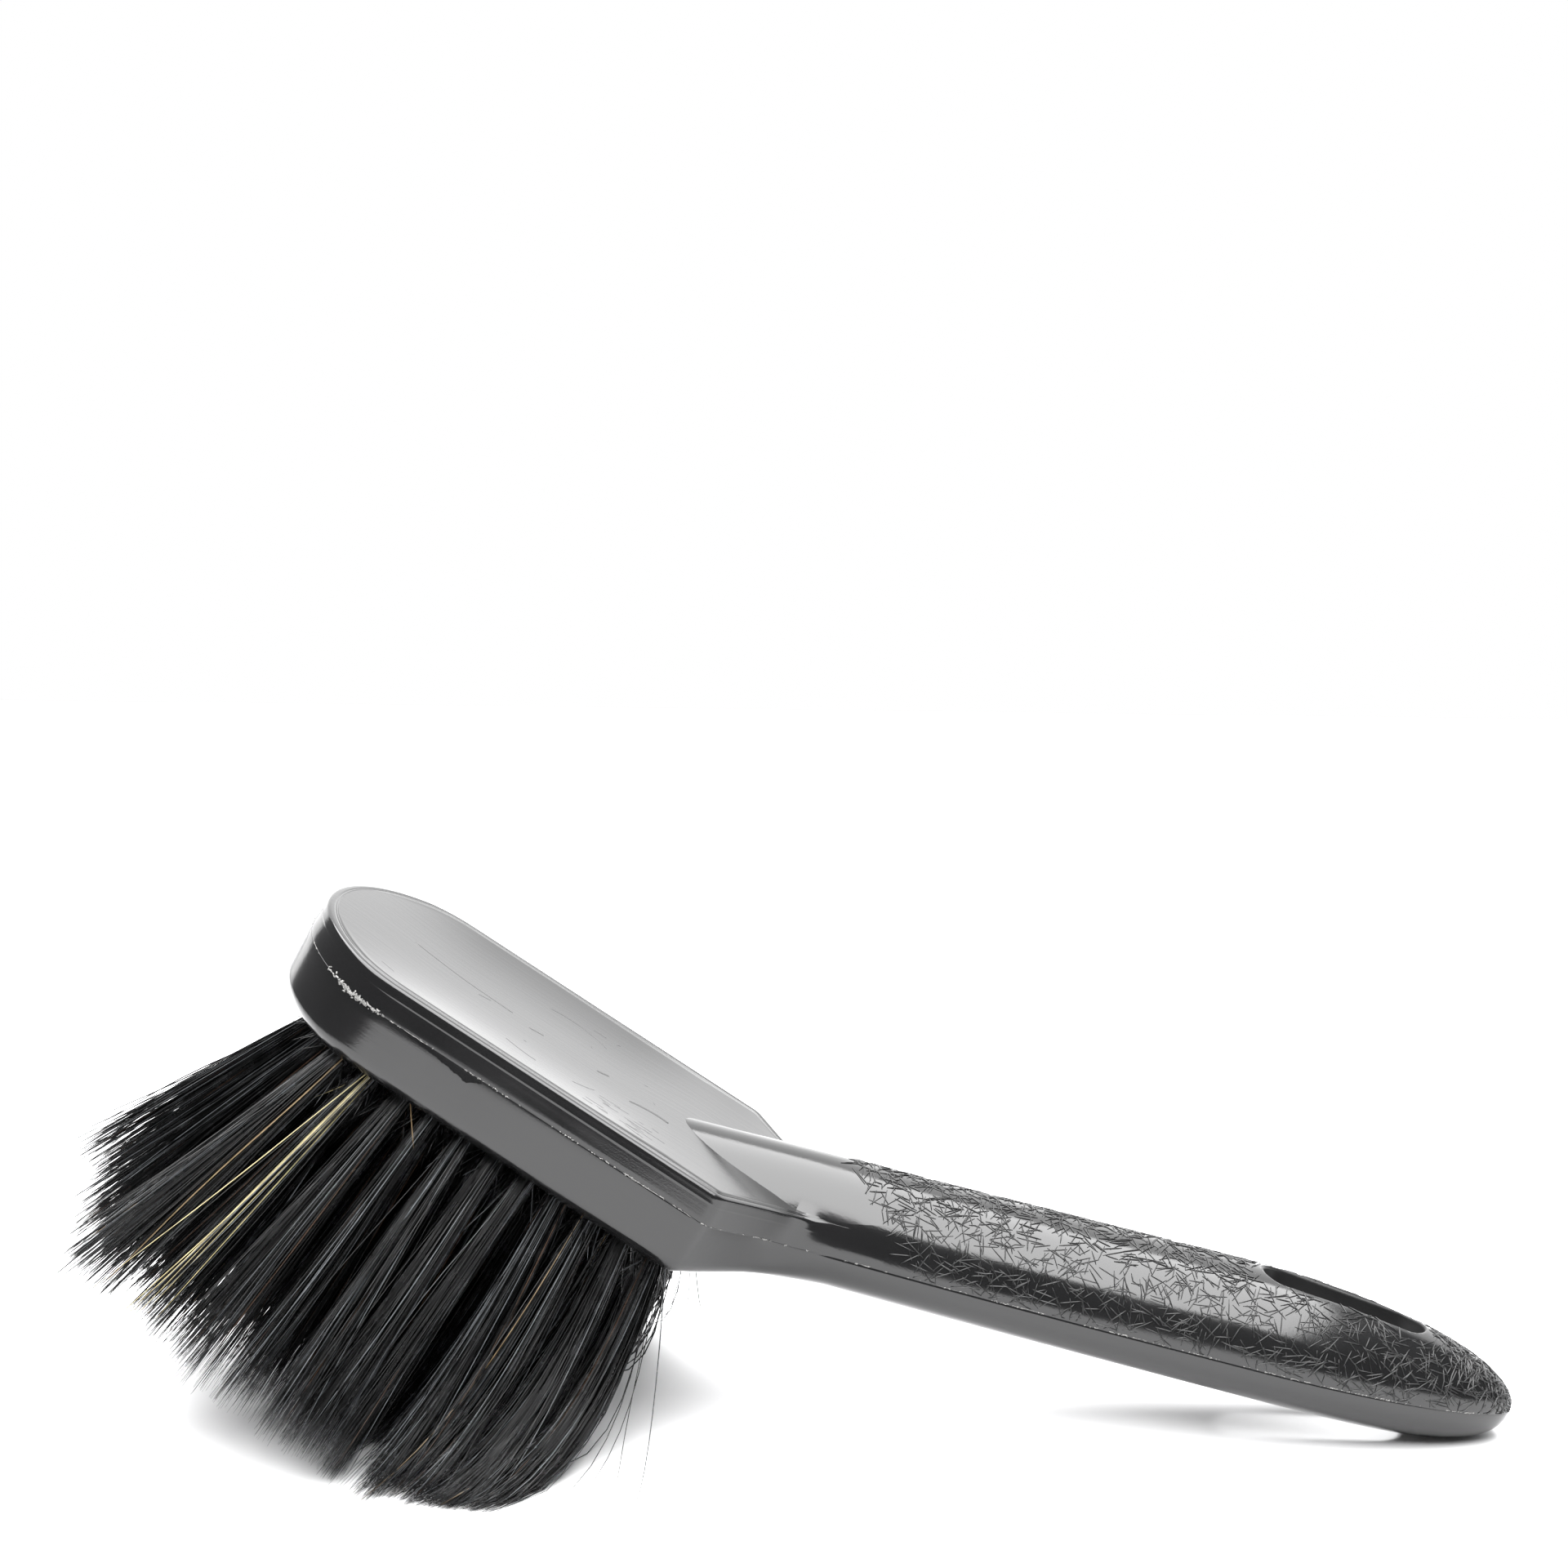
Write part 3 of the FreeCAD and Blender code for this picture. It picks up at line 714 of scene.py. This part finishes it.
def build_flash(lip, material):
    """Make the torn beads and threads of flash along the moulding's lip, on both sides."""
    run = np.concatenate([[0], np.cumsum(np.linalg.norm(np.diff(lip, axis=0), axis=1))])
    total = run[-1]
    middles = rng.uniform(4, total - 4, FLASH_PATCHES)
    beads = rng.choice(middles, PATCH_BEADS) + rng.normal(0, 2.0, PATCH_BEADS)
    at_nose, lone = rng.normal(NOSE_CLUMP, 3.2, NOSE_BEADS), rng.uniform(2, total - 2, LONE_BEADS)
    beads = np.concatenate([beads, at_nose, lone])
    length = rng.gamma(2.0, 0.16, len(beads)) + 0.12
    threads = rng.uniform(2, total - 2, THREADS)
    beads = np.clip(np.concatenate([beads, threads]), 3, total - 3)
    length = np.concatenate([length, rng.uniform(1.5, 6.0, THREADS)])
    count = len(beads)
    steps = beads[:, None] + length[:, None] * np.linspace(-0.5, 0.5, 5)

    def on_lip(at):
        return np.stack([np.interp(at, run, lip[:, k]) for k in range(3)], axis=-1)

    spots = on_lip(steps)
    out = np.cross(on_lip(steps + 0.3) - spots, np.array([0, 0, 1.0]))
    out = unit(out) * np.where(out[..., 1:2] > 0, -1, 1)
    small = np.where(length < 1.5, 1.0, 0.45)
    clump = np.ones(count)
    clump[PATCH_BEADS:PATCH_BEADS + NOSE_BEADS] = CLUMP_SCALE
    jitter = rng.normal(0, 0.09, steps.shape) * (small * clump)[:, None]
    jitter += rng.normal(0, 0.35, (count, 1)) * (clump - 1)[:, None]
    spots[..., 2] += jitter
    spots += out * rng.uniform(-0.02, 0.05, (count, 1, 1))
    half = rng.uniform(0.03, 0.09, count) * small * clump
    rise = rng.uniform(0.06, 0.2, count) * small * clump
    other_side = (rng.random(count) < 0.5) & (clump == 1)
    mirror = np.ones((count, 1, 3))
    mirror[other_side, :, 1] = -1
    return strip_mesh("parting_flash", spots * mirror, out * mirror, half, rise, material)


def build_flow_mark(material):
    """Make the glossy flow mark under the parting line of the -Y wall: a shallow tilted wedge."""
    start, end, top = 11.5, 28.5, -6.35
    x = np.linspace(start, end, 40)
    share = (x - start) / (end - start)
    drop = 0.2 + 1.9 * share**1.5 * (1 - smooth(0.82, 1.0, share))
    drop += 0.14 * np.sin(x * 2.3) * share + 0.08 * np.sin(x * 6.1)
    drop = np.maximum(drop, 0.06)
    ring_d, ring_z = np.array(LOWER_RINGS).T
    level = 0 * drop
    outer = [(level, 0.02), (drop, 0.06 + 0.14 * drop)]
    buried = [(drop + 0.1, -0.4), (level, -0.4)]
    corners = []
    for down, out in outer + buried:
        z = top - down
        y = -HALF_WIDTH + np.interp(-z, -ring_z, ring_d) - out
        corners.append(np.stack([x, y, z], axis=1))
    faces = tube_faces(len(x), len(corners))
    return mesh_object("flow_mark", np.stack(corners, axis=1), faces, material)


def build_face_marks(material):
    """Make the scuffs on the top face: a scratch, dashes, ejector rings and flow streaks."""
    t = np.linspace(0, 1, 25)
    lines = [
        ((-0.2, 1.3), (24.5, -0.3), 0.26),
        ((29.0, -2.5), (32.4, -1.7), 0.3),
        ((45.3, -2.0), (48.0, -0.8), 0.45),
    ]
    for _ in range(26):
        x, y = rng.uniform(42, 64), rng.uniform(-25, -15)
        end = (x + rng.uniform(1, 5), y - rng.uniform(0.1, 1.2))
        lines.append(((x, y), end, rng.uniform(0.04, 0.09)))
    for _ in range(8):
        x, y = rng.uniform(-10, 66), rng.uniform(-22, 22)
        angle = rng.normal(0.1, 0.5)
        reach = rng.uniform(0.6, 3.5)
        lines.append(((x, y), (x + reach * math.cos(angle), y + reach * math.sin(angle)), 0.05))
    paths = [np.outer(1 - t, start) + np.outer(t, end) for start, end, _ in lines]
    widths = [width for _, _, width in lines]
    ejector, crescent = (35, -2), (58.6, -19.4)
    arcs = (
        (ejector, 17.2, 242, 268, 0.2), (ejector, 17.6, 58, 108, 0.09),
        (ejector, 17.0, 296, 316, 0.1), (crescent, 12, 112, 68, 0.6),
    )
    for (x, y), radius, low, high, width in arcs:
        angle = np.radians(low + (high - low) * t)
        paths.append(np.stack([x + radius * np.cos(angle), y + radius * np.sin(angle)], axis=1))
        widths.append(width)
    flat = np.array(paths)
    z = RIM_Z - face_dish(flat[..., 0], flat[..., 1])
    spots = np.concatenate([flat, z[..., None]], axis=2)
    normals = np.broadcast_to(np.array([0, 0, 1.0]), spots.shape)
    rise = np.full(len(paths), 0.03)
    return strip_mesh("face_marks", spots, normals, np.array(widths), rise, material)


# ------------------------------------------------------------ bristles

FIBRES = 320
FIBRE_STEPS = 12
STRAYS = 14
STUBS = 34
LOCKS = 10
FLOOR_CLEARANCE = 0.25
LOWEST_POINT = 0.16
BUNDLE_RADIUS = 1.95
SPREAD_START = 52  # |Y| from which fibre tips are drawn in, towards this plus the extra
SPREAD_EXTRA = 5
TIP_REACH = 8.2  # half width of a tuft's tips across the row
# The first share gives fibres a lighter grey base colour that stands in for their highlights:
# painted highlight.
PAINTED_SHEEN_SHARE, BROWN_SHARE, FADED_SHARE, CREAM_SHARE = 0.13, 0.02, 0.0016, 0.2
HAIR_TINT = np.array([0.94, 1.0, 1.07])
BROWN = np.array([0.032, 0.017, 0.01])
FADED = np.array([0.2, 0.14, 0.08])
CREAM = np.array([0.42, 0.36, 0.2])


def tuft_layout():
    """Return each tuft's name, mouth, direction, half width in its row, and if it ends the row."""
    last = FIRST_TUFT + (max(ROW_COUNTS) - 1) * TUFT_PITCH
    middle = (FIRST_TUFT + last) / 2
    layout = []
    for row, count in enumerate(ROW_COUNTS):
        y = (row - 2) * ROW_PITCH
        across = math.radians(ROW_FAN * (row - 2) / 2)
        x = FIRST_TUFT + ROW_STARTS[row] * TUFT_PITCH + np.arange(count) * TUFT_PITCH
        share = (x - middle) / (last - middle)
        lean = np.radians(np.where(share < 0, NOSE_LEAN, HEEL_LEAN) * np.abs(share) ** 1.6)
        tips = x + TUFT_FREE * np.sin(lean)
        gaps = np.diff(tips)
        for i in range(count):
            down = np.array([math.tan(lean[i]), math.tan(across), -1.0])
            half = min(gaps[max(i - 1, 0)], gaps[min(i, count - 2)]) * math.cos(lean[i]) / 2
            mouth = np.array([x[i], y, BOTTOM_Z])
            down /= np.linalg.norm(down)
            layout.append((f"tuft_{ROW_NAMES[row]}_{i + 1:02d}", mouth, down, half, i == count - 1))
    return layout


def bend_to_floor(starts, aims, lengths, steps, clearance):
    """Return fibre points that start straight and bend over to keep their tips off the floor."""
    flat = unit(aims[:, :2])
    fall = np.arctan2(np.linalg.norm(aims[:, :2], axis=1), -aims[:, 2])
    t = (np.arange(steps) + 0.5) / steps
    low, high = np.zeros(len(starts)), np.full(len(starts), math.pi)

    def angles(bending):
        return np.minimum(fall[:, None] + bending[:, None] * t[None] ** 2.2, math.pi / 2 + 0.05)

    def full_drop(bending):
        return (np.cos(angles(bending)) * lengths[:, None] / steps).sum(axis=1)

    need = starts[:, 2] - clearance
    for _ in range(30):
        middle = (low + high) / 2
        drop = full_drop(middle)
        high = np.where(drop <= need, middle, high)
        low = np.where(drop <= need, low, middle)
    straight = full_drop(0 * low) <= need
    turn = angles(np.where(straight, 0.0, high))
    directions = [np.sin(turn) * flat[:, :1], np.sin(turn) * flat[:, 1:2], -np.cos(turn)]
    moves = np.stack(directions, axis=2) * (lengths[:, None, None] / steps)
    points = np.concatenate([np.zeros((len(starts), 1, 3)), np.cumsum(moves, axis=1)], axis=1)
    return starts[:, None] + points


def fibre_mesh(name, paths, radii, tones, material):
    """Make one mesh of tapered three-sided fibres that follow paths."""
    count, steps = paths.shape[:2]
    run = unit(np.gradient(paths, axis=1))
    first = unit(np.cross(run, np.array([0.3, 1.0, 0.2])))
    second = np.cross(run, first)
    turns = rng.uniform(0, 2 * math.pi, count)[:, None, None, None]
    corner = turns + np.arange(3)[None, None, :, None] * (2 * math.pi / 3)
    taper = np.interp(np.linspace(0, 1, steps), [0, 0.55, 0.85, 1], [1, 0.95, 0.6, 0.12])
    size = (radii[:, None] * taper[None])[:, :, None, None]
    around = np.cos(corner) * first[:, :, None] + np.sin(corner) * second[:, :, None]
    points = paths[:, :, None] + size * around
    base = np.arange(count) * steps * 3
    level = (np.arange(steps - 1) * 3)[None, :, None, None]
    side = np.arange(3)
    after = (side + 1) % 3
    quad = np.stack([side, after, after + 3, side + 3], axis=1)[None, None]
    quads = (base[:, None, None, None] + level + quad).reshape(-1, 4)
    last = base + (steps - 1) * 3
    caps = np.concatenate([base[:, None] + [2, 1, 0], last[:, None] + [0, 1, 2]])
    mesh = bpy.data.meshes.new(name)
    loops = np.concatenate([quads.ravel(), caps.ravel()])
    mesh.vertices.add(count * steps * 3)
    mesh.vertices.foreach_set("co", (points.reshape(-1) * MM).astype(np.float32))
    mesh.loops.add(len(loops))
    mesh.loops.foreach_set("vertex_index", loops.astype(np.int32))
    cap_starts = quads.size + np.arange(len(caps)) * 3
    starts = np.concatenate([np.arange(len(quads)) * 4, cap_starts])
    mesh.polygons.add(len(starts))
    mesh.polygons.foreach_set("loop_start", starts.astype(np.int32))
    mesh.update(calc_edges=True)
    tone = mesh.color_attributes.new("tone", "FLOAT_COLOR", "POINT")
    rgba = np.ones((count, steps * 3, 4), np.float32)
    rgba[..., :3] = tones[:, None]
    tone.data.foreach_set("color", rgba.ravel())
    mesh.shade_smooth()
    mesh.materials.append(material)
    obj = bpy.data.objects.new(name, mesh)
    bpy.context.scene.collection.objects.link(obj)
    return obj


def on_disc(turn, out):
    """Return points at a turn and a distance from the middle of a disc."""
    return np.stack([np.cos(turn) * out, np.sin(turn) * out], axis=1)


def resting(point):
    """Return a point of the block's frame in the row frame, still in mm."""
    return to_row(point) / MM


def fibre_tones(name, nearest, lock_spot):
    """Return each fibre's colour: near black, some lighter grey as painted highlight, few brown or
    faded, one lock cream.
    """
    kind = rng.random(FIBRES)
    # Painted highlight: these fibres get a lighter grey base colour in place of the sheen on the
    # strands.
    is_painted_sheen = rng.random(FIBRES) < PAINTED_SHEEN_SHARE
    light, dark = rng.uniform(0.02, 0.09, FIBRES), rng.uniform(0.0003, 0.003, FIBRES)
    tones = np.where(is_painted_sheen, light, dark)[:, None] * HAIR_TINT
    tones = np.where((kind < BROWN_SHARE)[:, None], BROWN, tones)
    tones = np.where((kind < FADED_SHARE)[:, None], FADED, tones)
    if name == PALE_TUFT:
        in_lock = nearest == np.argmin(lock_spot[:, 1] + np.abs(lock_spot[:, 0]))
        is_cream = in_lock & (rng.random(FIBRES) < CREAM_SHARE)
        tones = np.where(is_cream[:, None], CREAM, tones)
    return tones


def build_tuft(name, mouth, down, half, is_last, material):
    """Make one tuft: fibres in locks that fan out of the hole, strays across them and stubs."""
    order = np.arange(FIBRES)
    stray, stub = order < STRAYS, order >= FIBRES - STUBS
    origin = resting(mouth)
    down = down + rng.normal(0, 0.022, 3) * [1, 1, 0]
    aim = resting(mouth + down / np.linalg.norm(down)) - origin
    across = resting(mouth + [0, 1, 0]) - origin
    across -= aim * (across @ aim)
    across /= np.linalg.norm(across)
    plane = np.stack([np.cross(across, aim), across])

    # Where each fibre starts in the hole, and the lock its tip is drawn to.
    root = on_disc(rng.uniform(0, 2 * math.pi, FIBRES), np.sqrt(rng.random(FIBRES)))
    lock_spot = on_disc(rng.uniform(0, 2 * math.pi, LOCKS), np.sqrt(rng.random(LOCKS)))
    nearest = np.argmin(np.linalg.norm(root[:, None] - lock_spot[None], axis=2), axis=1)
    pull = rng.uniform(0.15, 0.95, FIBRES)[:, None]
    tip = root * (1 - pull) + lock_spot[nearest] * pull + rng.normal(0, 0.08, (FIBRES, 2))
    tip[stray] += rng.normal(0, 0.75, (STRAYS, 2))
    reach = np.array([half * 1.08, TIP_REACH])
    start = origin + (root * BUNDLE_RADIUS) @ plane
    offset = (tip * reach - root * BUNDLE_RADIUS) @ plane
    lock_length = rng.normal(0, 1.4, LOCKS)
    length = TUFT_FREE + lock_length[nearest] - rng.gamma(1.3, 1.4, FIBRES)
    length[stub] = rng.uniform(3.0, 15.0, STUBS)
    offset[stub] = (rng.normal(0, 0.42, (STUBS, 2)) * length[stub, None]) @ plane
    lean = aim[None] * length[:, None] + offset
    if is_last:
        lean[stray] += np.array([1.0, 0, -0.2]) * rng.uniform(1, 12, (STRAYS, 1))
    aims = unit(lean)
    paths = bend_to_floor(start, aims, length, FIBRE_STEPS - 2, FLOOR_CLEARANCE)
    paths = np.concatenate([(start - aims * 3.0)[:, None], paths], axis=1)

    # Each fibre sways and waves a little, then stays above the floor and inside the head's width.
    t = np.linspace(0, 1, FIBRE_STEPS)[None, :, None]
    loose = np.where(stray | stub, 2.0, 1.0)[:, None] * np.minimum(length / TUFT_FREE, 1)[:, None]
    sway = (rng.normal(0, 1.0, (FIBRES, 2)) * loose) @ plane
    wave = (rng.normal(0, 0.32, (FIBRES, 2)) * loose) @ plane
    paths += sway[:, None] * t**2 + wave[:, None] * np.sin(t * 7 + 1) * t
    paths[:, 1:, 2] = np.maximum(paths[:, 1:, 2], LOWEST_POINT)
    spread = np.abs(paths[:, -1:, 1:2])
    limit = SPREAD_START + SPREAD_EXTRA * np.tanh((spread - SPREAD_START) / SPREAD_EXTRA)
    paths[..., 1:2] *= np.minimum(1, limit / np.maximum(spread, SPREAD_START))
    tones = fibre_tones(name, nearest, lock_spot)
    return fibre_mesh(name + "_hair", paths, rng.uniform(0.1, 0.2, FIBRES), tones, material)


# ------------------------------------------------------------ the pieces

BLACK = (0.004, 0.004, 0.0042)
plastic = moulded_plastic("moulded_plastic", BLACK, 0.12, 0.19)
grip_plastic = moulded_plastic("grip_plastic", BLACK, 0.26, 0.34)
scuffed_plastic = moulded_plastic("scuffed_plastic", (0.006, 0.006, 0.0062), 0.4, 0.5)
hair = bristle_material()
steel = steel_material()

body, lip, crease = build_moulding(plastic)
cut(body, slot_cutter(scuffed_plastic))
sharpen(body, crease)
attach(body, "root")
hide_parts("block_and_handle")

for detail in (
    build_grip_texture(grip_plastic), build_flash(lip, flash_material()),
    build_face_marks(scuffed_plastic), build_flow_mark(plastic),
):
    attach(detail, "root")

for name, mouth, down, half, is_last in tuft_layout():
    piece = build_tuft(name, mouth, down, half, is_last, hair)
    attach(piece, "root")
    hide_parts(name)

for node_object in bpy.data.objects:
    if node_object.name.startswith("staple_anchors"):
        node_object.data.materials.clear()
        node_object.data.materials.append(steel)

# ------------------------------------------------------------ floor, light and camera

def area_light(name, place, aim, width, height, radiance):
    """Add a rectangular light, unseen by the camera, that faces a point with a given radiance."""
    light = bpy.data.lights.new(name, "AREA")
    light.shape = "RECTANGLE"
    light.size, light.size_y = width, height
    light.energy = radiance * width * height * math.pi
    obj = bpy.data.objects.new(name, light)
    obj.location = place
    obj.rotation_euler = (Vector(aim) - Vector(place)).to_track_quat("-Z", "Y").to_euler()
    obj.visible_camera = False
    bpy.context.scene.collection.objects.link(obj)


floor_material, _, floor_shader = new_material("studio_floor")
floor_shader.inputs["Base Color"].default_value = (0.72, 0.72, 0.725, 1)
floor_shader.inputs["Roughness"].default_value = 0.9
floor_shader.inputs["Specular IOR Level"].default_value = 0.0
floor_corners = np.array([(-1.6, -0.33, 0), (1.6, -0.33, 0), (1.6, 1.25, 0), (-1.6, 1.25, 0)])
floor = mesh_object("studio_floor", floor_corners, [(0, 1, 2, 3)], floor_material, in_row=True)

area_light("softbox", (0, -0.245, 0.9), (0, -0.245, 0), 1.25, 1.61, 11.5)
area_light("backdrop", (0, 1.3, 1.0), (0, 0, 1.0), 3.4, 1.96, 2.45)

world = bpy.data.worlds.new("studio")
bpy.context.scene.world = world
world.use_nodes = True
nodes, links = world.node_tree.nodes, world.node_tree.links
seen = nodes["Background"]
seen.inputs["Color"].default_value = (1, 1, 1, 1)
around = nodes.new("ShaderNodeBackground")
around.inputs["Color"].default_value = (0.27, 0.272, 0.275, 1)
ray = nodes.new("ShaderNodeLightPath")
either = nodes.new("ShaderNodeMixShader")
links.new(ray.outputs["Is Camera Ray"], either.inputs["Fac"])
links.new(around.outputs["Background"], either.inputs[1])
links.new(seen.outputs["Background"], either.inputs[2])
links.new(either.outputs["Shader"], nodes["World Output"].inputs["Surface"])

camera = bpy.data.cameras.new("camera")
camera.lens = 56.25
camera.sensor_width = 36
camera.clip_start, camera.clip_end = 0.01, 20
camera_object = bpy.data.objects.new("camera", camera)
camera_object.location = (0.05506, -0.4785, 0.1989)
look = Vector((-0.10715, 0.98386, -0.14330))
camera_object.rotation_euler = look.to_track_quat("-Z", "Y").to_euler()
bpy.context.scene.collection.objects.link(camera_object)
bpy.context.scene.camera = camera_object
bpy.context.scene.view_settings.view_transform = "Standard"
